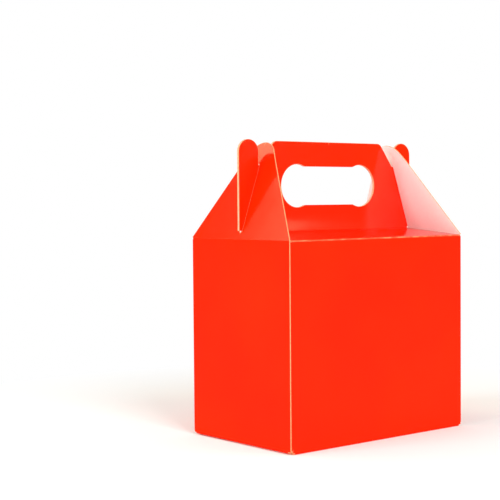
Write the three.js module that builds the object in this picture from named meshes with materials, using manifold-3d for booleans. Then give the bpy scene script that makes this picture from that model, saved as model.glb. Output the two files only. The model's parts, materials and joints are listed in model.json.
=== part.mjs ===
// A party food box: a gable-top carton folded from one die-cut sheet of card, standing closed.
//
// The carton is the folded sheet itself: four walls glued at the front left corner, an interlocking
// base, two nearly flat roof panels, and two handle panels that stand face to face in the middle.
// Each handle panel ends in two tall ears. A pointed lock flap on each side wall leans in, and its
// slot drops over the ears until the card at the end of the slot sits in the notch beside them.
//
// X runs along the width, Y from front to back and Z up. The origin is under the middle of the box.

import * as THREE from 'three';
import { mergeVertices } from 'three/addons/utils/BufferGeometryUtils.js';
import Module from 'manifold-3d';

const wasm = await Module();
wasm.setup();

// Driving dimensions of the box, in millimetres and degrees
const BOX_WIDTH = 150;
const BOX_DEPTH = 94;
const WALL_HEIGHT = 126;
const CARD = 0.6; // thickness of the sheet
const FOLD_RADIUS = 0.4; // inside of a crease
const ROOF_RISE = 4; // from the top of the walls to the crease between roof and handle
const PRINT_COLOUR = 0xff2a00;

// Handle panels, with heights above the walls
const HANDLE_GAP = 0.3; // between the two panels
const HANDLE_TOP = 60.4;
const EAR_TOP = 61;
const SHOULDER_ANGLE = 53; // of the handle's sloping side above the notch
const SHOULDER_RADIUS = 5;

// Hand hole through both panels
const HOLE_CENTRE_HEIGHT = 32.5;
const HOLE_END_RADIUS = 13.6;
const HOLE_END_INSET = 47.7; // from the side of the box to the centre of a round end
const HOLE_WAIST = 24.4; // height of the straight middle part
const HOLE_EASE_RADIUS = 3;

// Lock flaps, with lengths measured up the flap from its crease
const FLAP_LEAN = 19.5; // inwards from upright
const FLAP_REACH = 63.3;
const FLAP_TIP_RADIUS = 12.75;
const SLOT_START = 3;
const LOCK_BRIDGE = 14.5; // card left between the slot and the tip

// Base flaps and the glued seam
const FRONT_BASE_DEPTH = 57;
const BACK_BASE_DEPTH = 62;
const SIDE_BASE_DEPTH = 38;
const TONGUE_WIDTH = 70;
const TONGUE_RAMP = 10;
const TONGUE_REST = 14; // length that lies on the back base flap
const TONGUE_ROOT = 12; // length drawn inside the front base flap
const SEAM_WIDTH = 14;
const SEAM_BOND = 0.1; // how far the glued faces are pressed into each other
const RAW_EDGE_SETBACK = 0.2; // of the left wall's cut edge behind the front wall

// Clearances
const CLEARANCE = 0.3; // between a lock flap and the roof and ears
const CREASE_GAP = 0.5; // between a side wall's top edge and its lock flap
const NOTCH_CLEARANCE = 0.5; // under the end of the slot
const SLOT_CLEARANCE = 1.2; // on each side of the ears
const LAYER_GAP = 0.1; // between layers of the base
const BASE_RELIEF = 1.5; // cut away at each end of a base flap
const TONGUE_CLEARANCE = 4; // beside the tongue in the back base flap
const TRIM = 2; // how far a cutting outline runs past the card

// Smoothness of the curves
const FOLD_STEPS = 4;
const ARC_STEPS = 16;
const CURVE_SEGMENTS = 24;

// Values worked out from those above
const HALF_WIDTH = BOX_WIDTH / 2;
const HALF_DEPTH = BOX_DEPTH / 2;
const FOLD_OUTSIDE = FOLD_RADIUS + CARD;
const HANDLE_FACE = HANDLE_GAP / 2 + CARD; // outer face of a handle panel, from the middle
const LAYER = CARD + LAYER_GAP; // from one layer of the base to the next
const LEAN = THREE.MathUtils.degToRad(FLAP_LEAN);
const SLOT_END = FLAP_REACH - LOCK_BRIDGE;
const SLOT_WIDTH = 2 * (HANDLE_FACE + SLOT_CLEARANCE);

// Solids from outlines

function solidOf(geometry) {
  const bare = geometry.index ? geometry.toNonIndexed() : geometry.clone();
  bare.deleteAttribute('normal');
  bare.deleteAttribute('uv');
  const merged = mergeVertices(bare, 1e-5);
  return new wasm.Manifold(new wasm.Mesh({
    numProp: 3,
    vertProperties: new Float32Array(merged.attributes.position.array),
    triVerts: new Uint32Array(merged.index.array),
  }));
}

function geometryOf(solid) {
  const mesh = solid.getMesh();
  const geometry = new THREE.BufferGeometry();
  geometry.setAttribute('position', new THREE.BufferAttribute(mesh.vertProperties, 3));
  geometry.setIndex(new THREE.BufferAttribute(mesh.triVerts, 1));
  geometry.computeVertexNormals();
  return geometry;
}

// A plate with the given outline, whose own axes are turned to lie along three directions
function plate(shape, thickness, across, up, through, start) {
  const geometry = new THREE.ExtrudeGeometry(shape, {
    depth: thickness, bevelEnabled: false, curveSegments: CURVE_SEGMENTS,
  });
  geometry.applyMatrix4(new THREE.Matrix4().makeBasis(across, up, through).setPosition(start));
  return geometry;
}

const X = new THREE.Vector3(1, 0, 0);
const Y = new THREE.Vector3(0, 1, 0);
const Z = new THREE.Vector3(0, 0, 1);

// An outline in Y and Z, drawn out along X
function alongX(shape, from, to) {
  return solidOf(plate(shape, to - from, Y, Z, X, new THREE.Vector3(from, 0, 0)));
}

// An outline in X and Z, drawn out along Y
function alongY(shape, from, to) {
  return solidOf(plate(shape, to - from, X, Z, Y.clone().negate(), new THREE.Vector3(0, to, 0)));
}

// An outline in X and Y, drawn out along Z
function alongZ(shape, from, to) {
  return solidOf(plate(shape, to - from, X, Y, Z, new THREE.Vector3(0, 0, from)));
}

function rectangle(left, bottom, right, top) {
  return new THREE.Shape([
    new THREE.Vector2(left, bottom), new THREE.Vector2(right, bottom),
    new THREE.Vector2(right, top), new THREE.Vector2(left, top),
  ]);
}

// Paths of folded card

const point = (a, b) => new THREE.Vector2(a, b);

// Points on an arc, from one angle in degrees to another
function arc(centre, radius, fromDegrees, toDegrees, steps = ARC_STEPS) {
  const points = [];
  for (let step = 0; step <= steps; step += 1) {
    const degrees = fromDegrees + ((toDegrees - fromDegrees) * step) / steps;
    const angle = THREE.MathUtils.degToRad(degrees);
    points.push(point(centre.x + radius * Math.cos(angle), centre.y + radius * Math.sin(angle)));
  }
  return points;
}

const leftNormal = (from, to) => {
  const way = to.clone().sub(from).normalize();
  return point(-way.y, way.x);
};

// The path moved sideways to its left, with its corners kept sharp
function offsetPath(path, distance) {
  return path.map((corner, index) => {
    const before = path[Math.max(index - 1, 0)];
    const after = path[Math.min(index + 1, path.length - 1)];
    const first = index > 0 ? leftNormal(before, corner) : leftNormal(corner, after);
    const second = index < path.length - 1 ? leftNormal(corner, after) : first;
    const middle = first.clone().add(second).normalize();
    return corner.clone().addScaledVector(middle, distance / middle.dot(first));
  });
}

// The path with each inner corner turned into an arc
function roundedPath(path, radius) {
  const rounded = [path[0]];
  for (let index = 1; index < path.length - 1; index += 1) {
    const corner = path[index];
    const back = path[index - 1].clone().sub(corner).normalize();
    const ahead = path[index + 1].clone().sub(corner).normalize();
    const halfAngle = Math.acos(THREE.MathUtils.clamp(back.dot(ahead), -1, 1)) / 2;
    const start = corner.clone().addScaledVector(back, radius / Math.tan(halfAngle));
    const towards = back.clone().add(ahead).normalize();
    const centre = corner.clone().addScaledVector(towards, radius / Math.sin(halfAngle));
    const swing = Math.sign(back.cross(ahead)) * (Math.PI - 2 * halfAngle);
    for (let step = 0; step <= FOLD_STEPS; step += 1) {
      rounded.push(start.clone().rotateAround(centre, (-swing * step) / FOLD_STEPS));
    }
  }
  rounded.push(path[path.length - 1]);
  return rounded;
}

// The section of a folded strip of card that lies to the right of its outer face
function foldedStrip(outerFace) {
  const middle = roundedPath(offsetPath(outerFace, -CARD / 2), FOLD_RADIUS + CARD / 2);
  const outside = offsetPath(middle, CARD / 2);
  const inside = offsetPath(middle, -CARD / 2);
  return new THREE.Shape([...outside, ...inside.reverse()]);
}

// The lock flap's two faces cross a height above the walls this far in from the side of the box
const flapOutside = (height) => height * Math.tan(LEAN);
const flapInside = (height) => flapOutside(height) + CARD / Math.cos(LEAN);

// One end of a roof and handle panel: distances in from the side of the box, and heights
function endOutline() {
  const roofEdge = (height) => flapInside(height) + CLEARANCE / Math.cos(LEAN);
  const earFoot = ROOF_RISE + FOLD_OUTSIDE;
  const bridge = point(SLOT_END * Math.sin(LEAN), SLOT_END * Math.cos(LEAN));
  const notchFloor = bridge.y - CARD * Math.sin(LEAN) - NOTCH_CLEARANCE;
  const earWidth = flapOutside(notchFloor) - CLEARANCE / Math.cos(LEAN);
  const earRadius = earWidth / 2;
  const notchEnd = roofEdge(bridge.y);
  const slope = THREE.MathUtils.degToRad(SHOULDER_ANGLE);
  const shoulderRun = (HANDLE_TOP - notchFloor) / Math.tan(slope);
  const shoulder = point(notchEnd + shoulderRun, HANDLE_TOP);
  const ease = SHOULDER_RADIUS * Math.tan(slope / 2);
  const shoulderCentre = point(shoulder.x + ease, HANDLE_TOP - SHOULDER_RADIUS);
  return [
    point(roofEdge(0), 0),
    point(roofEdge(earFoot), earFoot),
    point(0, earFoot),
    ...arc(point(earRadius, EAR_TOP - earRadius), earRadius, 180, 0),
    point(earWidth, notchFloor),
    point(notchEnd, notchFloor),
    ...arc(shoulderCentre, SHOULDER_RADIUS, 90 + SHOULDER_ANGLE, 90, FOLD_STEPS),
  ];
}

// The hand hole: two round ends joined by a slightly lower middle part, eased where they meet
function handHole() {
  const reach = HALF_WIDTH - HOLE_END_INSET;
  const halfWaist = HOLE_WAIST / 2;
  const easeHeight = halfWaist + HOLE_EASE_RADIUS;
  const easeRun = Math.sqrt((HOLE_END_RADIUS + HOLE_EASE_RADIUS) ** 2 - easeHeight ** 2);
  const turn = THREE.MathUtils.radToDeg(Math.atan2(easeHeight, easeRun));
  const rightHalf = [
    ...arc(point(reach - easeRun, -easeHeight), HOLE_EASE_RADIUS, 90, turn, FOLD_STEPS),
    ...arc(point(reach, 0), HOLE_END_RADIUS, turn - 180, 180 - turn, 2 * ARC_STEPS).slice(1, -1),
    ...arc(point(reach - easeRun, easeHeight), HOLE_EASE_RADIUS, -turn, -90, FOLD_STEPS),
  ];
  const leftHalf = rightHalf.map((spot) => point(-spot.x, -spot.y));
  return [...rightHalf, ...leftHalf].map((spot) => point(spot.x, spot.y + HOLE_CENTRE_HEIGHT));
}

// The front or back sheet as it is cut, seen from the front
function sheetOutline(leftInset, rightInset, foldHeight) {
  const end = endOutline().map((spot) => point(spot.x, spot.y + WALL_HEIGHT));
  const side = (inset) => [
    point(inset + BASE_RELIEF, -TRIM),
    point(inset + BASE_RELIEF, foldHeight + FOLD_OUTSIDE),
    point(inset, foldHeight + FOLD_OUTSIDE),
    point(inset, WALL_HEIGHT),
    ...end,
  ];
  const right = side(rightInset).map((spot) => point(HALF_WIDTH - spot.x, spot.y));
  const left = side(leftInset).map((spot) => point(spot.x - HALF_WIDTH, spot.y));
  const shape = new THREE.Shape([...right, ...left.reverse()]);
  shape.holes.push(new THREE.Path(handHole().map((spot) => point(spot.x, spot.y + WALL_HEIGHT))));
  return shape;
}

// Base flap, wall, roof panel and handle panel in one strip, on the front side of the box
function frontSheet(baseDepth, foldHeight, leftInset, rightInset) {
  const section = foldedStrip([
    point(baseDepth - HALF_DEPTH, foldHeight),
    point(-HALF_DEPTH, foldHeight),
    point(-HALF_DEPTH, WALL_HEIGHT),
    point(-HANDLE_FACE, WALL_HEIGHT + ROOF_RISE),
    point(-HANDLE_FACE, WALL_HEIGHT + EAR_TOP + TRIM),
  ]);
  const strip = alongX(section, -HALF_WIDTH, HALF_WIDTH);
  const outline = sheetOutline(leftInset, rightInset, foldHeight);
  return strip.intersect(alongY(outline, -HALF_DEPTH - TRIM, HALF_DEPTH + TRIM));
}

// The tongue of the front base flap rises through the back one and rests on it
function tongue() {
  const foot = FRONT_BASE_DEPTH - HALF_DEPTH;
  const section = foldedStrip([
    point(foot + TONGUE_RAMP + TONGUE_REST, 3 * LAYER),
    point(foot + TONGUE_RAMP, 3 * LAYER),
    point(foot, 0),
    point(foot - TONGUE_ROOT, 0),
  ]);
  return alongX(section, -TONGUE_WIDTH / 2, TONGUE_WIDTH / 2);
}

// The back sheet is the front one turned round, with a recess where the tongue comes up
function backSheet() {
  const turned = frontSheet(BACK_BASE_DEPTH, 2 * LAYER, FOLD_OUTSIDE, FOLD_OUTSIDE).rotate([0, 0, 180]);
  const halfRecess = TONGUE_WIDTH / 2 + TONGUE_CLEARANCE;
  const recessEnd = FRONT_BASE_DEPTH - HALF_DEPTH + TONGUE_RAMP + FOLD_OUTSIDE;
  const recessStart = HALF_DEPTH - BACK_BASE_DEPTH - TRIM;
  const recess = rectangle(-halfRecess, recessStart, halfRecess, recessEnd);
  return turned.subtract(alongZ(recess, -TRIM, 3 * LAYER + TRIM));
}

// A side wall with its base flap, drawn as the left one; its cut edges lie at the given depths
function leftSheet(frontEdge, backEdge) {
  const section = foldedStrip([
    point(SIDE_BASE_DEPTH - HALF_WIDTH, LAYER),
    point(-HALF_WIDTH, LAYER),
    point(-HALF_WIDTH, WALL_HEIGHT),
  ]);
  const flapFront = -HALF_DEPTH + FOLD_OUTSIDE + BASE_RELIEF;
  const flapTop = LAYER + FOLD_OUTSIDE;
  const outline = new THREE.Shape([
    point(flapFront, -TRIM), point(-flapFront, -TRIM),
    point(-flapFront, flapTop), point(backEdge, flapTop),
    point(backEdge, WALL_HEIGHT), point(frontEdge, WALL_HEIGHT),
    point(frontEdge, flapTop), point(flapFront, flapTop),
  ]);
  const strip = alongY(section, -HALF_DEPTH, HALF_DEPTH);
  return strip.intersect(alongX(outline, -HALF_WIDTH - TRIM, HALF_WIDTH + TRIM));
}

// The upright corner folds, and the seam flap glued inside the left wall
function cornerFolds() {
  const seamFace = CARD - SEAM_BOND - HALF_WIDTH;
  const withSeam = foldedStrip([
    point(HALF_WIDTH / 2, HALF_DEPTH),
    point(HALF_WIDTH, HALF_DEPTH),
    point(HALF_WIDTH, -HALF_DEPTH),
    point(seamFace, -HALF_DEPTH),
    point(seamFace, SEAM_WIDTH - HALF_DEPTH),
  ]);
  const backLeft = foldedStrip([
    point(-HALF_WIDTH, 0),
    point(-HALF_WIDTH, HALF_DEPTH),
    point(-HALF_WIDTH / 2, HALF_DEPTH),
  ]);
  const bottom = 2 * LAYER + FOLD_OUTSIDE;
  const top = WALL_HEIGHT - FOLD_OUTSIDE;
  return [alongZ(withSeam, bottom, top), alongZ(backLeft, bottom, top)];
}

function cartonSolid() {
  const edge = HALF_DEPTH - FOLD_OUTSIDE;
  const seamInset = CARD - SEAM_BOND + FOLD_OUTSIDE;
  return wasm.Manifold.union([
    frontSheet(FRONT_BASE_DEPTH, 0, seamInset, FOLD_OUTSIDE),
    tongue(),
    backSheet(),
    leftSheet(RAW_EDGE_SETBACK - HALF_DEPTH, edge),
    leftSheet(-edge, edge).rotate([0, 0, 180]),
    ...cornerFolds(),
  ]);
}

// A lock flap, standing on its crease with its outer face on the crease's line
function lockFlapGeometry() {
  const centre = point(0, FLAP_REACH - FLAP_TIP_RADIUS);
  const corner = point(HALF_DEPTH, 0);
  const away = centre.clone().sub(corner);
  const tangent = Math.acos(FLAP_TIP_RADIUS / away.length());
  const start = Math.atan2(-away.y, -away.x) + tangent;
  const edge = arc(centre, FLAP_TIP_RADIUS, THREE.MathUtils.radToDeg(start), 90);
  const slope = (edge[0].x - corner.x) / edge[0].y;
  const foot = point(corner.x + slope * CREASE_GAP, CREASE_GAP);
  const right = [foot, ...edge];
  const left = right.slice(0, -1).map((spot) => point(-spot.x, spot.y));
  const shape = new THREE.Shape([...right, ...left.reverse()]);
  const half = SLOT_WIDTH / 2;
  shape.holes.push(new THREE.Path([
    ...arc(point(0, SLOT_END - half), half, 0, 180),
    ...arc(point(0, SLOT_START + half), half, 180, 360),
  ]));
  return geometryOf(solidOf(plate(shape, CARD, Y, Z, X, new THREE.Vector3())));
}

// Materials

function printedCard() {
  return new THREE.MeshStandardMaterial({ color: PRINT_COLOUR, roughness: 0.3, metalness: 0 });
}

function named(name, geometry) {
  const mesh = new THREE.Mesh(geometry, printedCard());
  mesh.name = name;
  return mesh;
}

// The assembled box

const box = new THREE.Group();
box.add(named('carton', geometryOf(cartonSolid())));

for (const [name, side, turn] of [['lock_flap_left', -1, 0], ['lock_flap_right', 1, Math.PI]]) {
  const crease = new THREE.Group();
  crease.position.set(side * HALF_WIDTH, 0, WALL_HEIGHT);
  crease.rotation.z = turn;
  const flap = named(name, lockFlapGeometry());
  flap.rotation.y = LEAN;
  crease.add(flap);
  box.add(crease);
}

export default box;
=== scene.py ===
"""A party food box: a gable-top carton of glossy red-orange card, closed and standing.

The carton is one die-cut sheet. Its blank is laid out flat, in coordinates that run across the
four walls and up each of them. Every zone is cut from the blank, folded along its creases and
then given the thickness of the card. The two lock flaps turn on their own creases.
"""

import json
import logging
import math
from dataclasses import dataclass, field
from enum import Enum
from typing import Callable, Sequence

import bmesh
import bpy
from mathutils import Matrix, Vector
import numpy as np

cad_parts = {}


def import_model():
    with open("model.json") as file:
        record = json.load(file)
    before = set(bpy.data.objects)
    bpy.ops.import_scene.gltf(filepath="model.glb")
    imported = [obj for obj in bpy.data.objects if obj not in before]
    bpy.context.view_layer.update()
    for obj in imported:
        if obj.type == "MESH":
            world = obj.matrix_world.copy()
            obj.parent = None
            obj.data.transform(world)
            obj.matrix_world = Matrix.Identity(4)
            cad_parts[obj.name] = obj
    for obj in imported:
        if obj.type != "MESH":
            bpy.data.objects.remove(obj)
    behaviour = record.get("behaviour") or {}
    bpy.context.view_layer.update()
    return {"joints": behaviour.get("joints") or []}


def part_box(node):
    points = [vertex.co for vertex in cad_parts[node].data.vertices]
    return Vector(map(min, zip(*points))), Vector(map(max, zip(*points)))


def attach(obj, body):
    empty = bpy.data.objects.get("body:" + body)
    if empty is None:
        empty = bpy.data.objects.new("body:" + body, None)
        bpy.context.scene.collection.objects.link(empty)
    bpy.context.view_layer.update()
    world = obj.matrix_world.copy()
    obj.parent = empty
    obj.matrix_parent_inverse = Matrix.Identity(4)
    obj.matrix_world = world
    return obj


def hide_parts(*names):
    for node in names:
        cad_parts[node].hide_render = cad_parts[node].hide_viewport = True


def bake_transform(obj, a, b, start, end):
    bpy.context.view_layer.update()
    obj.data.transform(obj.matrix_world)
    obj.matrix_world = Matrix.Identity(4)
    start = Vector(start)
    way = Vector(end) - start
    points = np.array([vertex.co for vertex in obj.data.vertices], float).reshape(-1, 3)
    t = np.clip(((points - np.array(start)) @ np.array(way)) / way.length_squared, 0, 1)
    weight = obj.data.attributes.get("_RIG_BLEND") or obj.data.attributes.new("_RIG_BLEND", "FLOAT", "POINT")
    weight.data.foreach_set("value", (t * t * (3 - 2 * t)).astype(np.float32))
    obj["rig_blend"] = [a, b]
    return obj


log = logging.getLogger("party_food_box")

BLANK_UV = "Blank"
CUT_WEAR = "cut_wear"
Spot = tuple[float, float]
Colour = tuple[float, float, float, float]
WHITE: Colour = (1.0, 1.0, 1.0, 1.0)
BLACK: Colour = (0.0, 0.0, 0.0, 1.0)
# The tone of what the film mirrors, which keeps its highlights orange where white ones look pink.
WARM: Colour = (1.0, 0.88, 0.5, 1.0)


class Face(Enum):
    """The three surfaces of a sheet of card, by material slot."""

    PRINT = 0
    INSIDE = 1
    CUT = 2


class Side(Enum):
    """The side of the box that a lock flap stands on."""

    LEFT = "left"
    RIGHT = "right"


# Sizes


@dataclass(frozen=True)
class CartonSizes:
    """The carton's sizes in metres and degrees. The first four come from the frame."""

    width: float
    depth: float
    wall_height: float
    ear_top: float
    card: float = 0.0006
    fold_radius: float = 0.0004
    roof_rise: float = 0.004
    handle_gap: float = 0.0003
    handle_top: float = 0.0604
    shoulder_angle: float = 53.0
    shoulder_radius: float = 0.005
    hole_centre: float = 0.0325
    hole_end_radius: float = 0.0136
    hole_end_inset: float = 0.0477
    hole_waist: float = 0.0244
    hole_ease: float = 0.003
    flap_lean: float = 19.5
    flap_reach: float = 0.0633
    flap_tip_radius: float = 0.01275
    slot_start: float = 0.0042
    lock_bridge: float = 0.0145
    front_base: float = 0.057
    back_base: float = 0.062
    side_base: float = 0.038
    tongue_width: float = 0.07
    tongue_ramp: float = 0.01
    tongue_rest: float = 0.014
    tongue_clearance: float = 0.004
    seam_width: float = 0.014
    seam_bond: float = 0.0001
    raw_edge_setback: float = 0.0002
    clearance: float = 0.0003
    crease_gap: float = 0.0005
    notch_clearance: float = 0.0005
    slot_clearance: float = 0.0006
    layer_gap: float = 0.0001
    base_relief: float = 0.0015
    crease_reach: float = 0.001
    inner_fold: float = 0.0001
    foot_spread: float = 0.0011
    foot_reach: float = 0.014
    foot_pinch: float = 0.03
    tip_bend: float = 0.0011
    side_bow: float = 0.0004
    gable_bow: float = 0.0005
    bow_power: float = 0.8

    @property
    def fold_outside(self) -> float:
        """The outer radius of a crease."""
        return self.fold_radius + self.card

    @property
    def handle_face(self) -> float:
        """From the middle of the box to a handle panel's outer face."""
        return self.handle_gap / 2 + self.card

    @property
    def side_level(self) -> float:
        """How high the side base flaps lie, on the front one."""
        return self.card + self.layer_gap

    @property
    def back_level(self) -> float:
        """How high the back base flap lies, on the side ones."""
        return 2 * self.side_level

    @property
    def tongue_level(self) -> float:
        """How high the front base flap's tongue lies, on the back one."""
        return 3 * self.side_level

    @property
    def lean(self) -> float:
        """The lock flaps' lean, in radians."""
        return math.radians(self.flap_lean)

    @property
    def slot_end(self) -> float:
        """From a lock flap's crease to the far end of its slot."""
        return self.flap_reach - self.lock_bridge

    @property
    def slot_width(self) -> float:
        """The width of a lock flap's slot."""
        return 2 * (self.handle_face + self.slot_clearance)

    @property
    def roof_run(self) -> float:
        """From a front or back wall to its handle panel's outer face, across the box."""
        return self.depth / 2 - self.handle_face

    @property
    def roof_length(self) -> float:
        """The length of a roof panel along its slope."""
        return math.hypot(self.roof_run, self.roof_rise)

    @property
    def seam_x(self) -> float:
        """Where the front wall folds back into the glue flap."""
        return self.card - self.seam_bond - self.width / 2

    def roof_edge(self, height: float) -> float:
        """How far in from the side a roof panel is cut, at a height above the walls."""
        return height * math.tan(self.lean) + (self.card + self.clearance) / math.cos(self.lean)

    def up_blank(self, height: float) -> float:
        """The place up the blank of a height above the walls, on a roof or handle panel."""
        if height <= self.roof_rise:
            return self.wall_height + self.roof_length * height / self.roof_rise
        return self.wall_height + self.roof_length + height - self.roof_rise


@dataclass(frozen=True)
class Resolution:
    """How finely the sheet is divided, in metres and steps."""

    grid: float = 0.0028
    fold_steps: int = 6
    crease_steps: int = 4
    arc_steps: int = 28
    weld: float = 1e-6
    zone_weld: float = 5e-6
    rim: float = 0.0003


# Folding


@dataclass(frozen=True)
class Placed:
    """A place on a folded path, and the direction out of the printed face there."""

    spot: Vector
    outward: Vector


@dataclass
class FoldPath:
    """A polyline with a rounded fold at each inner corner, measured by length along it.

    The printed face follows the path, and its outward side is on the left.
    """

    corners: Sequence[Spot]
    start: float
    outside: float
    inside: float
    stations: list[float] = field(init=False)

    def __post_init__(self) -> None:
        """Works out where each corner lies along the path."""
        self.stations = [self.start]
        for first, second in zip(self.corners, self.corners[1:]):
            self.stations.append(self.stations[-1] + math.dist(first, second))

    def way(self, index: int) -> Vector:
        """The direction of the stretch that starts at a corner."""
        return (Vector(self.corners[index + 1]) - Vector(self.corners[index])).normalized()

    def bend(self, index: int) -> tuple[float, float, float]:
        """A corner's fold: the angle turned, positive to the left, its radius and its reach."""
        before, after = self.way(index - 1), self.way(index)
        turn = math.atan2(before.x * after.y - before.y * after.x, before.dot(after))
        radius = self.outside if turn < 0 else self.inside
        return turn, radius, radius * math.tan(abs(turn) / 2)

    def fold_lines(self, steps: int) -> list[float]:
        """The lengths at which the sheet is divided, with a number of steps in each fold."""
        found = []
        for index in range(1, len(self.corners) - 1):
            reach = self.bend(index)[2]
            found += [self.stations[index] + reach * (2 * s / steps - 1) for s in range(steps + 1)]
        return found

    def place(self, length: float) -> Placed:
        """The place on the folded path of a length along the unfolded one."""
        for index in range(1, len(self.corners) - 1):
            turn, radius, reach = self.bend(index)
            past = length - self.stations[index] + reach
            if 0 <= past <= 2 * reach:
                way = self.way(index - 1)
                start = Vector(self.corners[index]) - way * reach
                left = Vector((-way.y, way.x))
                centre = start + left * math.copysign(radius, turn)
                spin = Matrix.Rotation(turn * past / (2 * reach), 2)
                return Placed(centre + spin @ (start - centre), spin @ left)
        index = 0
        while index < len(self.corners) - 2 and length > self.stations[index + 1]:
            index += 1
        return self.straight(index, length)

    def straight(self, index: int, length: float) -> Placed:
        """The same, on the line of the stretch that starts at a corner and also past its ends."""
        way = self.way(index)
        spot = Vector(self.corners[index]) + way * (length - self.stations[index])
        return Placed(spot, Vector((-way.y, way.x)))


# Outlines


def arc(centre: Spot, radius: float, start: float, end: float, steps: int) -> list[Spot]:
    """Points along an arc from one angle to another, in degrees, with a number of chords."""
    angles = [math.radians(start + (end - start) * step / steps) for step in range(steps + 1)]
    return [(centre[0] + radius * math.cos(a), centre[1] + radius * math.sin(a)) for a in angles]


@dataclass
class DieLine:
    """The cut edges of the blank's zones, each as half of an outline about its middle line."""

    sizes: CartonSizes
    fine: Resolution

    def gable_end(self) -> list[Spot]:
        """The cut edge at one end of a roof and handle panel, from the wall to the top edge.

        Returns:
            Points as distance in from the side of the box and height above the walls.
        """
        sizes, fine = self.sizes, self.fine
        ear_foot = sizes.roof_rise + sizes.fold_outside
        seat = (sizes.slot_end * math.sin(sizes.lean), sizes.slot_end * math.cos(sizes.lean))
        floor = seat[1] - sizes.card * math.sin(sizes.lean) - sizes.notch_clearance
        ear_width = floor * math.tan(sizes.lean) - sizes.clearance / math.cos(sizes.lean)
        ear_radius = ear_width / 2
        notch_end = sizes.roof_edge(seat[1])
        slope = math.radians(sizes.shoulder_angle)
        shoulder = notch_end + (sizes.handle_top - floor) / math.tan(slope)
        ease = sizes.shoulder_radius * math.tan(slope / 2)
        centre = (shoulder + ease, sizes.handle_top - sizes.shoulder_radius)
        turn = 90 + sizes.shoulder_angle
        return [
            (sizes.roof_edge(0.0), 0.0),
            (sizes.roof_edge(sizes.roof_rise), sizes.roof_rise),
            (sizes.roof_edge(ear_foot), ear_foot),
            (0.0, ear_foot),
            *arc((ear_radius, sizes.ear_top - ear_radius), ear_radius, 180, 0, fine.arc_steps),
            (ear_width, floor),
            (notch_end, floor),
            *arc(centre, sizes.shoulder_radius, turn, 90, fine.fold_steps),
        ]

    def half_hole(self) -> list[Spot]:
        """Half of the hand hole's edge, from the middle of its top round one end to the bottom.

        Returns:
            Points as distance from the middle of the box and height above the walls.
        """
        sizes, fine = self.sizes, self.fine
        reach = sizes.width / 2 - sizes.hole_end_inset
        half_waist = sizes.hole_waist / 2
        rise = half_waist + sizes.hole_ease
        run = math.sqrt((sizes.hole_end_radius + sizes.hole_ease) ** 2 - rise**2)
        turn = math.degrees(math.atan2(rise, run))
        ends = (180 - turn, turn - 180)
        round_end = arc((reach, 0.0), sizes.hole_end_radius, *ends, 2 * fine.arc_steps)
        points = [
            (0.0, half_waist),
            *arc((reach - run, rise), sizes.hole_ease, -90, -turn, fine.fold_steps),
            *round_end[1:-1],
            *arc((reach - run, -rise), sizes.hole_ease, turn, 90, fine.fold_steps),
            (0.0, -half_waist),
        ]
        return [(x, z + sizes.hole_centre) for x, z in points]

    def half_gable(self, base: list[Spot], level: float, inset: float, half: float) -> list[Spot]:
        """Half of a front or back panel, with its base flap, roof and handle.

        Args:
            base: the base flap's free edge, from the middle line to its side.
            level: how high its base flap lies.
            inset: from the side of the box to where the wall's corner fold starts.
            half: half of the box's width.

        Returns:
            Points as distance from the middle line and place up the blank.
        """
        sizes = self.sizes
        fold_top = level + sizes.fold_outside
        edge = half - inset
        end = [(half - u, sizes.up_blank(w)) for u, w in self.gable_end()]
        hole = [(x, sizes.up_blank(w)) for x, w in self.half_hole()]
        return [
            *base,
            (edge - sizes.base_relief, base[-1][1]),
            (edge - sizes.base_relief, fold_top),
            (edge, fold_top),
            (edge, sizes.wall_height - sizes.fold_outside),
            (min(edge, half - sizes.roof_edge(0.0)), sizes.wall_height),
            *end[1:],
            (0.0, sizes.up_blank(sizes.handle_top)),
            *hole,
        ]

    def front_base(self) -> list[Spot]:
        """The front base flap's free edge, with its tongue."""
        sizes = self.sizes
        tip = -sizes.front_base - sizes.tongue_ramp - sizes.tongue_rest
        half = sizes.tongue_width / 2
        return [(0.0, tip), (half, tip), (half, -sizes.front_base)]

    def back_base(self) -> list[Spot]:
        """The back base flap's free edge, with the recess that the tongue comes up through."""
        sizes = self.sizes
        level = sizes.back_level
        half = sizes.tongue_width / 2 + sizes.tongue_clearance
        recess_end = sizes.front_base - sizes.depth / 2 + sizes.tongue_ramp + sizes.fold_outside
        floor = level - (sizes.depth / 2 - recess_end)
        return [(0.0, floor), (half, floor), (half, level - sizes.back_base)]

    def side_wall(self, low_edge: float, high_edge: float) -> list[Spot]:
        """A side panel's wall and base flap, up to where its lock flap takes over.

        Args:
            low_edge: from the middle line to the wall's edge on the side where the blank starts.
            high_edge: the same on the other side.

        Returns:
            Points as distance from the middle line and place up the blank.
        """
        sizes = self.sizes
        level = sizes.side_level
        fold_top = level + sizes.fold_outside
        flap = sizes.depth / 2 - sizes.fold_outside - sizes.base_relief
        free = level - sizes.side_base
        top = sizes.wall_height - sizes.crease_reach
        return [
            (-flap, free), (flap, free), (flap, fold_top), (high_edge, fold_top),
            (high_edge, top), (-low_edge, top), (-low_edge, fold_top), (-flap, fold_top),
        ]

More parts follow.
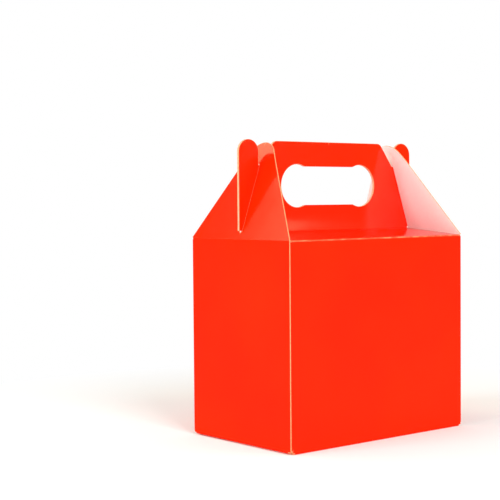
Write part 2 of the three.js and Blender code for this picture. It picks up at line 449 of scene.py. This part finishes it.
    def half_lock_flap(self, edge: float) -> list[Spot]:
        """Half of a lock flap, from the top of its wall to its tip, with half of its slot.

        Args:
            edge: from the middle line to the wall's edge.

        Returns:
            Points as distance from the middle line and place up the blank.
        """
        sizes, fine = self.sizes, self.fine
        centre = (0.0, sizes.flap_reach - sizes.flap_tip_radius)
        corner = (sizes.depth / 2, 0.0)
        away = math.dist(centre, corner)
        back = math.atan2(corner[1] - centre[1], corner[0] - centre[0])
        start = math.degrees(back + math.acos(sizes.flap_tip_radius / away))
        tip = arc(centre, sizes.flap_tip_radius, start, 90, fine.arc_steps)
        slope = (tip[0][0] - corner[0]) / tip[0][1]
        foot = (corner[0] + slope * sizes.crease_gap, sizes.crease_gap)
        half = sizes.slot_width / 2
        slot = [
            *arc((0.0, sizes.slot_end - half), half, 90, 0, fine.arc_steps // 2),
            *arc((0.0, sizes.slot_start + half), half, 0, -90, fine.arc_steps // 2),
        ]
        low = -sizes.crease_reach
        points = [(0.0, low), (edge, low), (edge, 0.0), foot, *tip, *slot]
        return [(x, t + sizes.wall_height) for x, t in points]


# Mesh work


class SheetMesh:
    """Zones cut from the blank, folded and welded into one sheet, then given its thickness."""

    def __init__(self, fine: Resolution, uncut: float) -> None:
        """Starts an empty sheet.

        Args:
            fine: how finely the sheet is divided.
            uncut: the place up the blank where the sheet runs on into another piece.
        """
        self.fine = fine
        self.uncut = uncut
        self.whole = bmesh.new()
        self.whole.loops.layers.uv.new(BLANK_UV)
        self.whole.verts.layers.float.new(CUT_WEAR)

    def add_zone(
        self,
        outline: Sequence[Spot],
        across_lines: Sequence[float],
        up_lines: Sequence[float],
        fold: Callable[[float, float], Vector],
    ) -> None:
        """Cuts a zone, divides it by a grid of lines and folds it into place.

        Args:
            outline: the zone's edge in the blank.
            across_lines: places across the blank where it is divided.
            up_lines: places up the blank where it is divided.
            fold: takes a point of the blank to its place on the folded box.
        """
        points = list(outline)
        area = sum(p[0] * q[1] - q[0] * p[1] for p, q in zip(points, points[1:] + points[:1]))
        if area < 0:
            points.reverse()
        zone = bmesh.new()
        uv = zone.loops.layers.uv.new(BLANK_UV)
        wear = zone.verts.layers.float.new(CUT_WEAR)
        zone.faces.new([zone.verts.new((a, b, 0.0)) for a, b in points])
        zone.normal_update()
        rim_verts = zone.verts[:]
        bmesh.ops.inset_individual(
            zone, faces=zone.faces[:], thickness=self.fine.rim, use_even_offset=True
        )
        for vert in zone.verts:
            vert[wear] = 0.0
        for vert in rim_verts:
            vert[wear] = 0.0 if abs(vert.co.y - self.uncut) < self.fine.weld else 1.0
        low = [min(p[i] for p in points) for i in (0, 1)]
        high = [max(p[i] for p in points) for i in (0, 1)]
        for axis, lines in ((0, across_lines), (1, up_lines)):
            normal = Vector((1.0, 0.0, 0.0)) if axis == 0 else Vector((0.0, 1.0, 0.0))
            for line in lines:
                if low[axis] + self.fine.weld < line < high[axis] - self.fine.weld:
                    geometry = [*zone.verts, *zone.edges, *zone.faces]
                    bmesh.ops.bisect_plane(
                        zone,
                        geom=geometry,
                        dist=self.fine.weld,
                        plane_co=normal * line,
                        plane_no=normal,
                    )
        for face in zone.faces:
            for loop in face.loops:
                loop[uv].uv = loop.vert.co.xy
        for vert in zone.verts:
            vert.co = fold(vert.co.x, vert.co.y)
        bmesh.ops.reverse_faces(zone, faces=zone.faces[:])
        mesh = bpy.data.meshes.new("zone")
        zone.to_mesh(mesh)
        zone.free()
        self.whole.from_mesh(mesh)
        bpy.data.meshes.remove(mesh)

    def finish(
        self, name: str, card: float, materials: Sequence[bpy.types.Material]
    ) -> bpy.types.Object:
        """Welds the zones and gives the sheet its thickness.

        Args:
            name: the finished piece's name.
            card: the thickness of the card.
            materials: the finishes of the printed face, the inside and the cut edges.

        Returns:
            The finished object, at the origin.
        """
        bmesh.ops.remove_doubles(self.whole, verts=self.whole.verts[:], dist=self.fine.zone_weld)
        wear = self.whole.verts.layers.float[CUT_WEAR]
        for vert in self.whole.verts:
            if not vert.is_boundary:
                vert[wear] = 0.0
        mesh = bpy.data.meshes.new(name)
        self.whole.to_mesh(mesh)
        self.whole.free()
        for material in materials:
            mesh.materials.append(material)
        piece = bpy.data.objects.new(name, mesh)
        bpy.context.scene.collection.objects.link(piece)
        solidify = piece.modifiers.new("Card", "SOLIDIFY")
        solidify.thickness = card
        solidify.offset = -1.0
        solidify.use_even_offset = True
        solidify.material_offset = Face.INSIDE.value
        solidify.material_offset_rim = Face.CUT.value
        depsgraph = bpy.context.evaluated_depsgraph_get()
        thick = bpy.data.meshes.new_from_object(piece.evaluated_get(depsgraph))
        piece.modifiers.clear()
        piece.data = thick
        thick.name = name
        bpy.data.meshes.remove(mesh)
        soften_folds(thick)
        return piece


def soften_folds(mesh: bpy.types.Mesh, sharpest: float = math.radians(35)) -> None:
    """Shades a mesh smooth across its folds, up to the sharpest, and sharp at its cut edges."""
    edit = bmesh.new()
    edit.from_mesh(mesh)
    for face in edit.faces:
        face.smooth = True
    for edge in edit.edges:
        edge.smooth = len(edge.link_faces) == 2 and edge.calc_face_angle(math.pi) < sharpest
    edit.to_mesh(mesh)
    edit.free()


def spaced(start: float, end: float, step: float) -> list[float]:
    """Even divisions between two lengths, at most a step apart and without the ends."""
    count = max(1, math.ceil((end - start) / step))
    return [start + (end - start) * index / count for index in range(1, count)]


# The box


@dataclass(frozen=True)
class Panel:
    """One wall's stretch of the blank and the path up it, from its base flap to its top."""

    corner: int
    start: float
    end: float
    upright: FoldPath
    bow: float
    gable: bool = False

    @property
    def middle(self) -> float:
        """The panel's middle line across the blank."""
        return (self.start + self.end) / 2


class Carton:
    """The folded sheet: four walls, the seam, the base, the roof and the handle."""

    def __init__(self, sizes: CartonSizes, fine: Resolution) -> None:
        """Lays out the blank's panels."""
        self.sizes = sizes
        self.fine = fine
        self.die = DieLine(sizes, fine)
        half_width, half_depth = sizes.width / 2, sizes.depth / 2
        corners = [
            (-half_width, sizes.raw_edge_setback - half_depth),
            (-half_width, half_depth),
            (half_width, half_depth),
            (half_width, -half_depth),
            (sizes.seam_x, -half_depth),
            (sizes.seam_x, sizes.seam_width - half_depth),
        ]
        self.round = FoldPath(corners, 0.0, sizes.fold_outside, sizes.fold_radius)
        marks = self.round.stations
        side_bow, gable_bow = sizes.side_bow, sizes.gable_bow
        left_start, front_end = marks[0] - sizes.raw_edge_setback, marks[3] + sizes.width
        self.left = Panel(0, left_start, marks[1], self._side_path(), side_bow)
        self.back = Panel(1, marks[1], marks[2], self._back_path(), gable_bow, gable=True)
        self.right = Panel(2, marks[2], marks[3], self._side_path(), side_bow)
        self.front = Panel(3, marks[3], front_end, self._front_path(), gable_bow, gable=True)

    def _path(self, base: list[Spot], top: list[Spot], start: float) -> FoldPath:
        """A path up a panel, as distance in from its wall and height."""
        sizes = self.sizes
        wall_top = (0.0, sizes.wall_height)
        return FoldPath([*base, wall_top, *top], start, sizes.fold_outside, sizes.inner_fold)

    def _gable(self) -> list[Spot]:
        """The roof's and handle's part of a path up a front or back panel."""
        sizes = self.sizes
        crease = sizes.wall_height + sizes.roof_rise
        return [(sizes.roof_run, crease), (sizes.roof_run, sizes.wall_height + sizes.ear_top)]

    def _front_path(self) -> FoldPath:
        """The path up the front panel, from the tip of its tongue."""
        sizes = self.sizes
        raised = sizes.tongue_level
        ramp_end = sizes.front_base + sizes.tongue_ramp
        tip = ramp_end + sizes.tongue_rest
        base = [(tip, raised), (ramp_end, raised), (sizes.front_base, 0.0), (0.0, 0.0)]
        slope = math.hypot(sizes.tongue_ramp, raised)
        return self._path(base, self._gable(), -sizes.front_base - slope - sizes.tongue_rest)

    def _back_path(self) -> FoldPath:
        """The path up the back panel, from its base flap's free edge."""
        level = self.sizes.back_level
        reach = self.sizes.back_base
        return self._path([(reach, level), (0.0, level)], self._gable(), level - reach)

    def _side_path(self) -> FoldPath:
        """The path up a side panel, from its base flap's free edge to its lock flap's tip."""
        sizes = self.sizes
        level, base, reach = sizes.side_level, sizes.side_base, sizes.flap_reach
        tip = (reach * math.sin(sizes.lean), sizes.wall_height + reach * math.cos(sizes.lean))
        return self._path([(base, level), (0.0, level)], [tip], level - base)

    def _bowed(self, panel: Panel, across: float, up: float) -> float:
        """How far the sheet stands out of flat: a wall's belly, or a lock flap's bent tip."""
        sizes = self.sizes
        past_slot = up - sizes.wall_height - sizes.slot_end
        if not panel.gable and past_slot > 0:
            return -sizes.tip_bend * (past_slot / sizes.lock_bridge) ** 2
        edge = sizes.fold_outside + sizes.card
        share = (across - panel.start - edge) / (panel.end - panel.start - 2 * edge)
        height = up / sizes.wall_height
        if not (0 < share < 1 and 0 < height < 1):
            return 0.0
        swell = math.sin(math.pi * height) ** sizes.bow_power
        return panel.bow * math.sin(math.pi * share) * swell

    def _foot(self, panel: Panel, across: float, up: float) -> float:
        """How far out a handle panel's foot stands, except near the ears, which the slots hold."""
        sizes = self.sizes
        past = up - sizes.up_blank(sizes.roof_rise)
        if not panel.gable or past < -sizes.roof_length or past > sizes.foot_reach:
            return 0.0
        share = 1 + past / sizes.roof_length if past < 0 else (1 - past / sizes.foot_reach) ** 2
        held = min(max(0.0, min(across - panel.start, panel.end - across) / sizes.foot_pinch), 1.0)
        return sizes.foot_spread * share * held * held * (3 - 2 * held)

    def fold_panel(self, panel: Panel) -> Callable[[float, float], Vector]:
        """A panel's folding: a function from a place in the blank to its place on the box."""

        def fold(across: float, up: float) -> Vector:
            wall = self.round.straight(panel.corner, across)
            upright = panel.upright.place(up)
            out = self._bowed(panel, across, up)
            inward = upright.spot.x + upright.outward.x * out - self._foot(panel, across, up)
            spot = wall.spot - wall.outward * inward
            return Vector((spot.x, spot.y, upright.spot.y + upright.outward.y * out))

        return fold

    def _fold_corner(self, across: float, up: float) -> Vector:
        """The folding of an upright corner or of the glue flap."""
        spot = self.round.place(across).spot
        return Vector((spot.x, spot.y, up))

    def _wall_lines(self) -> list[float]:
        """Divisions up a wall that all four walls and their corners share."""
        sizes = self.sizes
        bottom = sizes.fold_outside
        top = sizes.wall_height - sizes.fold_outside
        return [bottom, sizes.back_level + bottom, *spaced(bottom, top, self.fine.grid), top]

    def _up_lines(self, panel: Panel) -> list[float]:
        """Divisions up one panel."""
        sizes, grid = self.sizes, self.fine.grid
        folds = panel.upright.fold_lines(self.fine.fold_steps)
        crease = sizes.up_blank(sizes.roof_rise)
        top = sizes.up_blank(sizes.ear_top)
        above = [*spaced(sizes.wall_height, crease, grid), *spaced(crease, top, grid)]
        below = spaced(-sizes.depth, 0.0, grid)
        return [*folds, *self._wall_lines(), *above, *below]

    def build(self, finishes: Sequence[bpy.types.Material]) -> bpy.types.Object:
        """Cuts, folds and welds the sheet. Its finishes are the print, the inside and the cuts."""
        sizes, fine = self.sizes, self.fine
        sheet = SheetMesh(fine, sizes.wall_height - sizes.crease_reach)
        half_width, half_depth = sizes.width / 2, sizes.depth / 2
        rounding = sizes.fold_outside
        seam_inset = sizes.card - sizes.seam_bond + rounding
        gables = (
            (self.front, self.die.front_base(), 0.0, rounding, seam_inset),
            (self.back, self.die.back_base(), sizes.back_level, rounding, rounding),
        )
        for panel, base, level, low_inset, high_inset in gables:
            fold = self.fold_panel(panel)
            lines = self._up_lines(panel)
            across = spaced(panel.start, panel.end, fine.grid)
            for inset, sign in ((low_inset, -1), (high_inset, 1)):
                half = self.die.half_gable(base, level, inset, half_width)
                outline = [(panel.middle + sign * a, b) for a, b in half]
                sheet.add_zone(outline, across, lines, fold)
        edge = half_depth - rounding
        raw_edge = half_depth - sizes.raw_edge_setback
        for panel, low_edge in ((self.left, raw_edge), (self.right, edge)):
            outline = [(panel.middle + a, b) for a, b in self.die.side_wall(low_edge, edge)]
            across = spaced(panel.start, panel.end, fine.grid)
            sheet.add_zone(outline, across, self._up_lines(panel), self.fold_panel(panel))
        self._add_corners(sheet)
        return sheet.finish("carton_sheet", sizes.card, finishes)

    def _add_corners(self, sheet: SheetMesh) -> None:
        """Adds the upright corner folds and the glue flap to a sheet."""
        sizes = self.sizes
        bottom = sizes.back_level + sizes.fold_outside
        top = sizes.wall_height - sizes.fold_outside
        fold_lines = self.round.fold_lines(self.fine.fold_steps)
        last = len(self.round.corners) - 2
        for index in range(1, last + 1):
            station, reach = self.round.stations[index], self.round.bend(index)[2]
            start = station - reach
            end = self.round.stations[-1] if index == last else station + reach
            outline = [(start, bottom), (end, bottom), (end, top), (start, top)]
            sheet.add_zone(outline, fold_lines, self._wall_lines(), self._fold_corner)


class LockFlap:
    """A pointed lock flap with its crease, which turns with it."""

    def __init__(self, carton: Carton, side: Side) -> None:
        """Picks the flap's panel, on one side of the carton."""
        self.carton = carton
        self.side = side
        self.panel = carton.left if side is Side.LEFT else carton.right

    def build(self, finishes: Sequence[bpy.types.Material]) -> bpy.types.Object:
        """Cuts and folds the flap, whose crease bends between the carton and its own body."""
        carton, panel = self.carton, self.panel
        sizes, fine = carton.sizes, carton.fine
        crease, bend = sizes.wall_height, sizes.crease_reach
        sheet = SheetMesh(fine, crease - bend)
        folds = panel.upright.fold_lines(fine.fold_steps)
        crease_lines = spaced(crease - bend, crease + 2 * bend, bend / fine.crease_steps)
        lines = [*folds, *crease_lines, *spaced(crease, crease + sizes.flap_reach, fine.grid)]
        across = spaced(panel.start, panel.end, fine.grid)
        edge = sizes.depth / 2 - sizes.fold_outside
        start_edge = sizes.depth / 2 - sizes.raw_edge_setback if self.side is Side.LEFT else edge
        for sign, reach in ((-1, start_edge), (1, edge)):
            outline = [(panel.middle + sign * a, b) for a, b in carton.die.half_lock_flap(reach)]
            sheet.add_zone(outline, across, lines, carton.fold_panel(panel))
        name = f"lock_flap_{self.side.value}"
        piece = sheet.finish(f"{name}_sheet", sizes.card, finishes)
        way = -1 if self.side is Side.LEFT else 1
        crease_x = way * sizes.width / 2
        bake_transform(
            piece, "carton", name,
            start=(crease_x, 0.0, crease - sizes.crease_reach),
            end=(crease_x, 0.0, crease + sizes.crease_reach),
        )
        return piece


# Shader maths


@dataclass(frozen=True)
class Value:
    """A number that changes over a surface, held by a node's output socket."""

    tree: bpy.types.NodeTree
    socket: bpy.types.NodeSocket

    def _math(self, operation: str, first: "Value | float", second: "Value | float") -> "Value":
        """Adds a Math node."""
        node = self.tree.nodes.new("ShaderNodeMath")
        node.operation = operation
        for index, term in enumerate((first, second)):
            if isinstance(term, Value):
                self.tree.links.new(term.socket, node.inputs[index])
            else:
                node.inputs[index].default_value = term
        return Value(self.tree, node.outputs[0])

    def __add__(self, other: "Value | float") -> "Value":
        """The sum."""
        return self._math("ADD", self, other)

    def __sub__(self, other: "Value | float") -> "Value":
        """The difference."""
        return self._math("SUBTRACT", self, other)

    def __rsub__(self, other: float) -> "Value":
        """The difference, the other way round."""
        return self._math("SUBTRACT", other, self)

    def __mul__(self, other: "Value | float") -> "Value":
        """The product."""
        return self._math("MULTIPLY", self, other)

    def __truediv__(self, other: "Value | float") -> "Value":
        """The quotient."""
        return self._math("DIVIDE", self, other)

    def __abs__(self) -> "Value":
        """The size without its sign."""
        return self._math("ABSOLUTE", self, 0.0)

    def at_most(self, limit: "Value | float") -> "Value":
        """The lesser of two numbers."""
        return self._math("MINIMUM", self, limit)

    def at_least(self, limit: "Value | float") -> "Value":
        """The greater of two numbers."""
        return self._math("MAXIMUM", self, limit)

    def band(self, half_width: float) -> "Value":
        """One where this is zero, falling to none at a distance on both sides."""
        return (1 - abs(self) / half_width).at_least(0.0)

    def ramp(self, start: float, gain: float) -> "Value":
        """None up to a start, then rising with this number, by a gain, to one."""
        return ((self - start) * gain).at_least(0.0).at_most(1.0)

    def between(self, least: float, most: float) -> "Value":
        """Where this runs from 0 to 1, a number that runs from one limit to another."""
        return self * (most - least) + least


@dataclass(frozen=True)
class Grain:
    """The settings of a noise: features in a metre, its finer layers and their strength."""

    scale: float
    detail: float = 3.0
    roughness: float = 0.5


@dataclass
class Graph:
    """The node tree of a material or a world, with one way to add nodes."""

    tree: bpy.types.NodeTree

    def node(self, kind: str, settings: dict | None = None, **sockets: object) -> bpy.types.Node:
        """Adds a node.

        Args:
            kind: the node's type, without its ShaderNode prefix.
            settings: the node's own settings, set first.
            sockets: values or links of its inputs, with _ for a space in a name.

        Returns:
            The node.
        """
        node = self.tree.nodes.new(f"ShaderNode{kind}")
        for key, value in (settings or {}).items():
            setattr(node, key, value)
        for key, value in sockets.items():
            self.feed(node.inputs[key.replace("_", " ")], value)
        return node

    def number(self, node: bpy.types.Node, output: str) -> Value:
        """One of a node's outputs, to reckon with."""
        return Value(self.tree, node.outputs[output])

    def feed(self, target: bpy.types.NodeSocket, value: object) -> None:
        """Sets an input socket to a number or colour, or links a Value or a socket to it."""
        if isinstance(value, Value):
            self.tree.links.new(value.socket, target)
        elif isinstance(value, bpy.types.NodeSocket):
            self.tree.links.new(value, target)
        else:
            target.default_value = value

    def mix(self, factor: Value, first: object, second: object) -> bpy.types.NodeSocket:
        """A mix of two colours or sockets, by the share of the second."""
        node = self.node("Mix", {"data_type": "RGBA"})
        for index, value in ((0, factor), (6, first), (7, second)):
            self.feed(node.inputs[index], value)
        return node.outputs[2]

    def noise(self, grain: Grain) -> Value:
        """A noise over the object, from 0 to 1."""
        node = self.node(
            "TexNoise",
            Vector=self.node("TexCoord").outputs["Object"],
            Scale=grain.scale,
            Detail=grain.detail,
            Roughness=grain.roughness,
        )
        return Value(self.tree, node.outputs[0])

    def rays(self) -> tuple[Value, Value]:
        """One for camera and transmission rays, and one for glossy rays."""
        path = self.node("LightPath")
        camera, through, glossy = (
            self.number(path, f"Is {kind} Ray") for kind in ("Camera", "Transmission", "Glossy")
        )
        return (camera + through).at_most(1.0), glossy


class Finish(Graph):
    """A material being made."""

    def __init__(self, name: str) -> None:
        """Starts a material of that name."""
        self.material = bpy.data.materials.new(name)
        self.material.use_nodes = True
        super().__init__(self.material.node_tree)
        self.shader = self.tree.nodes["Principled BSDF"]

    def shade(self, **sockets: object) -> None:
        """Sets or links inputs of the material's shader."""
        for key, value in sockets.items():
            self.feed(self.shader.inputs[key.replace("_", " ")], value)

    def bump(self, height: Value, distance: float = 1.0) -> bpy.types.NodeSocket:
        """The normal of a height map, in which 1 stands for a distance in metres."""
        return self.node("Bump", Height=height, Distance=distance).outputs[0]


@dataclass(frozen=True)
class PrintedFace:
    """Red-orange print under a gloss film, worn pale at its cut edges and on some top creases.

    A pair of wear values is the wear between the chips and the wear in them.
    """

    name: str
    red: Colour = (0.95, 0.009, 0.0, 1.0)
    orange: Colour = (0.95, 0.021, 0.0, 1.0)
    blush: Grain = Grain(14.0, 2.0)
    worn: Colour = (0.95, 0.36, 0.17, 1.0)
    chips: Grain = Grain(160.0, 4.0, 0.65)
    chip_start: float = 0.42
    chip_gain: float = 6.0
    rim_wear: tuple[float, float] = (0.7, 0.95)
    crease_wear: tuple[float, float] = (0.255, 0.85)
    crease_width: float = 0.001
    roughness: float = 0.12
    worn_roughness: float = 0.3
    smears: Grain = Grain(90.0, 4.0)
    smear_roughness: float = 0.04
    specular: float = 0.35
    fibres: Grain = Grain(2600.0, 2.0)
    fibre_height: float = 0.000001
    waves: Grain = Grain(55.0, 2.0)
    wave_height: float = 0.00008

    def material(self, crease_up: float, worn_panels: Sequence[Panel] = ()) -> bpy.types.Material:
        """Makes the material.

        Args:
            crease_up: the place of the worn crease up the blank.
            worn_panels: the panels whose crease is worn.

        Returns:
            The material.
        """
        finish = Finish(self.name)
        blank = finish.node("UVMap", {"uv_map": BLANK_UV}).outputs[0]
        place = finish.node("SeparateXYZ", Vector=blank)
        across, up = finish.number(place, "X"), finish.number(place, "Y")
        tone = finish.mix(finish.noise(self.blush), self.red, self.orange)
        chipped = finish.noise(self.chips).ramp(self.chip_start, self.chip_gain)
        rim = finish.number(finish.node("Attribute", {"attribute_name": CUT_WEAR}), "Fac")
        scuffed = rim * chipped.between(*self.rim_wear)
        pale = scuffed
        for panel in worn_panels:
            to_end = (panel.end - panel.start) / 2 - abs(across - panel.middle)
            along = to_end.ramp(0.0, 1 / self.crease_width)
            crease = (up - crease_up).band(self.crease_width) * along
            pale = pale.at_least(crease * chipped.between(*self.crease_wear))
        relief = finish.noise(self.fibres) * self.fibre_height
        relief = relief + finish.noise(self.waves) * self.wave_height
        smeared = finish.noise(self.smears) * self.smear_roughness
        finish.shade(
            Base_Color=finish.mix(pale, tone, self.worn),
            Roughness=smeared + scuffed * self.worn_roughness + self.roughness,
            Specular_IOR_Level=self.specular,
            Normal=finish.bump(relief),
        )
        return finish.material


@dataclass(frozen=True)
class BareCard:
    """Unprinted card: a mottle of two tones and a dull face with its fibres.

    The stain's pair is where it starts in the mottle and how fast it rises. The roughness is
    the least and the most.
    """

    name: str
    tone: Colour
    stain_tone: Colour
    mottle: Grain
    stain: tuple[float, float]
    dullness: Grain
    roughness: tuple[float, float]
    fibres: Grain
    fibre_height: float

    def material(self) -> bpy.types.Material:
        """Makes the material."""
        finish = Finish(self.name)
        stained = finish.noise(self.mottle).ramp(*self.stain)
        finish.shade(
            Base_Color=finish.mix(stained, self.tone, self.stain_tone),
            Roughness=finish.noise(self.dullness).between(*self.roughness),
            Normal=finish.bump(finish.noise(self.fibres), self.fibre_height),
        )
        return finish.material


WHITE_INSIDE = BareCard(
    "bare_board",
    tone=(0.86, 0.84, 0.81, 1.0),
    stain_tone=(0.78, 0.76, 0.73, 1.0),
    mottle=Grain(420.0, 5.0, 0.6),
    stain=(0.0, 1.0),
    dullness=Grain(700.0),
    roughness=(0.6, 0.7),
    fibres=Grain(2400.0),
    fibre_height=0.00001,
)
CUT_CORE = BareCard(
    "cut_edge",
    tone=(0.93, 0.38, 0.17, 1.0),
    stain_tone=(0.9, 0.2, 0.08, 1.0),
    mottle=Grain(900.0, 4.0, 0.7),
    stain=(0.45, 4.0),
    dullness=Grain(900.0),
    roughness=(0.7, 0.8),
    fibres=Grain(3000.0),
    fibre_height=0.00002,
)


# The studio


def direction(azimuth: float, elevation: float) -> Vector:
    """A direction: degrees from straight back towards the right, and degrees above level."""
    turn, rise = math.radians(azimuth), math.radians(elevation)
    level = math.cos(rise)
    return Vector((math.sin(turn) * level, math.cos(turn) * level, math.sin(rise)))


@dataclass(frozen=True)
class PhotoCamera:
    """The camera that the photograph was taken with, as solved from the box's corners."""

    place: tuple[float, float, float] = (-0.5672, -0.6056, 0.1508)
    yaw: float = 39.61
    pitch: float = 2.31
    roll: float = -0.45
    lens: float = 92.26
    sensor: float = 36.0
    nearest: float = 0.01
    furthest: float = 100.0

    def build(self) -> None:
        """Makes the camera and gives it to the scene."""
        ahead = direction(self.yaw, -self.pitch)
        level = direction(self.yaw + 90, 0.0)
        above = level.cross(ahead)
        roll = math.radians(self.roll)
        right = level * math.cos(roll) + above * math.sin(roll)
        up = above * math.cos(roll) - level * math.sin(roll)
        data = bpy.data.cameras.new("photo_camera")
        data.lens = self.lens
        data.sensor_width = self.sensor
        data.clip_start = self.nearest
        data.clip_end = self.furthest
        camera = bpy.data.objects.new("photo_camera", data)
        turn = Matrix((right, up, -ahead)).transposed().to_4x4()
        camera.matrix_world = Matrix.Translation(self.place) @ turn
        bpy.context.scene.collection.objects.link(camera)
        bpy.context.scene.camera = camera


@dataclass(frozen=True)
class Softbox:
    """A square area lamp that faces the box."""

    name: str
    azimuth: float
    elevation: float
    distance: float
    size: float
    watts: float
    tone: Colour = WHITE

    def build(self, target: Vector) -> None:
        """Makes the lamp, aimed at a point. It shows in reflections but not to the camera."""
        data = bpy.data.lights.new(self.name, "AREA")
        data.size = self.size
        data.energy = self.watts
        data.color = self.tone[:3]
        away = direction(self.azimuth, self.elevation)
        lamp = bpy.data.objects.new(self.name, data)
        lamp.location = target + away * self.distance
        lamp.rotation_euler = away.to_track_quat("Z", "Y").to_euler()
        lamp.visible_camera = False
        bpy.context.scene.collection.objects.link(lamp)


@dataclass(frozen=True)
class Studio:
    """A pale floor, a white background, soft lamps and what the film mirrors of the room.

    The ceiling is the direction of the bright patch that the film mirrors. It starts where a
    ray's cosine to that direction passes the edge, and brightens by the gain.
    """

    floor_radius: float = 8.0
    floor_sides: int = 96
    floor_tone: Colour = (0.97, 0.97, 0.97, 1.0)
    floor_roughness: float = 0.9
    shadow_radius: float = 0.17
    ambient: float = 0.56
    dim_room: float = 0.04
    dim_floor: float = 0.06
    ceiling: tuple[float, float, float] = (-0.3, 0.5, 1.4)
    ceiling_edge: float = 0.78
    ceiling_gain: float = 5.0
    lamps: tuple[Softbox, ...] = (
        Softbox("key_softbox", -84.0, 19.0, 1.7, 0.8, 17.0),
        Softbox("front_softbox", -165.0, 24.0, 1.8, 0.8, 22.0),
        Softbox("fill_softbox", 149.0, 19.0, 1.8, 0.64, 6.8, WARM),
        Softbox("back_softbox", -27.0, 37.0, 1.8, 0.56, 3.9, WARM),
        Softbox("side_softbox", -49.0, 20.0, 1.8, 0.7, 4.0, WARM),
    )

    def build(self, target: Vector) -> None:
        """Makes the floor, the world and the lamps, which face a point."""
        bpy.context.scene.view_settings.view_transform = "Standard"
        self._world()
        self._floor()
        for lamp in self.lamps:
            lamp.build(target)

    def _world(self) -> None:
        """Makes the world: ambient light, white where it is seen, and a room to mirror."""
        world = bpy.data.worlds.new("studio")
        world.use_nodes = True
        bpy.context.scene.world = world
        graph = Graph(world.node_tree)
        seen, glossy = graph.rays()
        way = graph.node("TexCoord").outputs["Generated"]
        aim = graph.node("VectorMath", {"operation": "DOT_PRODUCT"}, Vector=way)
        aim.inputs[1].default_value = Vector(self.ceiling).normalized()
        bright = graph.number(aim, "Value").ramp(self.ceiling_edge, self.ceiling_gain)
        mirrored = glossy * bright.between(self.dim_room, 1.0)
        strength = mirrored + (1.0 - glossy) * seen.between(self.ambient, 1.0)
        background = graph.tree.nodes["Background"].inputs
        graph.feed(background["Color"], graph.mix(glossy, WHITE, WARM))
        graph.feed(background["Strength"], strength)

    def _floor(self) -> bpy.types.Object:
        """Makes the floor, which keeps the box's shadow and fades to white further out."""
        shape = bmesh.new()
        bmesh.ops.create_circle(
            shape, cap_ends=True, segments=self.floor_sides, radius=self.floor_radius
        )
        mesh = bpy.data.meshes.new("floor")
        shape.to_mesh(mesh)
        shape.free()
        floor = bpy.data.objects.new("floor", mesh)
        bpy.context.scene.collection.objects.link(floor)
        finish = Finish("pale_floor")
        finish.shade(
            Base_Color=self.floor_tone, Roughness=self.floor_roughness, Specular_IOR_Level=0.0
        )
        place = finish.node("TexCoord").outputs["Object"]
        length = finish.node("VectorMath", {"operation": "LENGTH"}, Vector=place)
        faded = finish.number(length, "Value").ramp(self.shadow_radius, 1 / self.shadow_radius)
        seen, glossy = finish.rays()
        tone = finish.mix(seen + glossy * self.dim_floor, BLACK, WHITE)
        white = finish.node("Emission", Color=tone)
        mixed = finish.node("MixShader", Fac=faded * seen + glossy)
        finish.feed(mixed.inputs[1], finish.shader.outputs[0])
        finish.feed(mixed.inputs[2], white.outputs[0])
        finish.feed(finish.tree.nodes["Material Output"].inputs["Surface"], mixed.outputs[0])
        mesh.materials.append(finish.material)
        return floor


# Putting it together


def sizes_from_frame(frame: dict) -> CartonSizes:
    low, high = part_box("carton")
    crease = frame["joints"][0]["pos_m"][2]
    return CartonSizes(
        width=high[0] - low[0],
        depth=high[1] - low[1],
        wall_height=crease,
        ear_top=high[2] - crease,
    )


def main() -> None:
    """Loads the frame and builds the box, its finishes and the studio."""
    logging.basicConfig(level=logging.INFO, format="%(name)s: %(message)s")
    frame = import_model()
    sizes = sizes_from_frame(frame)
    board, edge = WHITE_INSIDE.material(), CUT_CORE.material()
    carton = Carton(sizes, Resolution())
    worn_print = PrintedFace("printed_gloss_worn").material(
        sizes.wall_height, (carton.front, carton.back)
    )
    flap_print = PrintedFace("printed_gloss_flap").material(sizes.wall_height)
    sheet = carton.build((worn_print, board, edge))
    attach(sheet, "carton")
    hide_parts("carton")
    log.info("%s: %d faces", sheet.name, len(sheet.data.polygons))
    for side in Side:
        flap = LockFlap(carton, side).build((flap_print, board, edge))
        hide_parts(f"lock_flap_{side.value}")
        log.info("%s: %d faces", flap.name, len(flap.data.polygons))
    PhotoCamera().build()
    Studio().build(Vector((0.0, 0.0, sizes.wall_height / 2)))


if __name__ == "__main__":
    main()
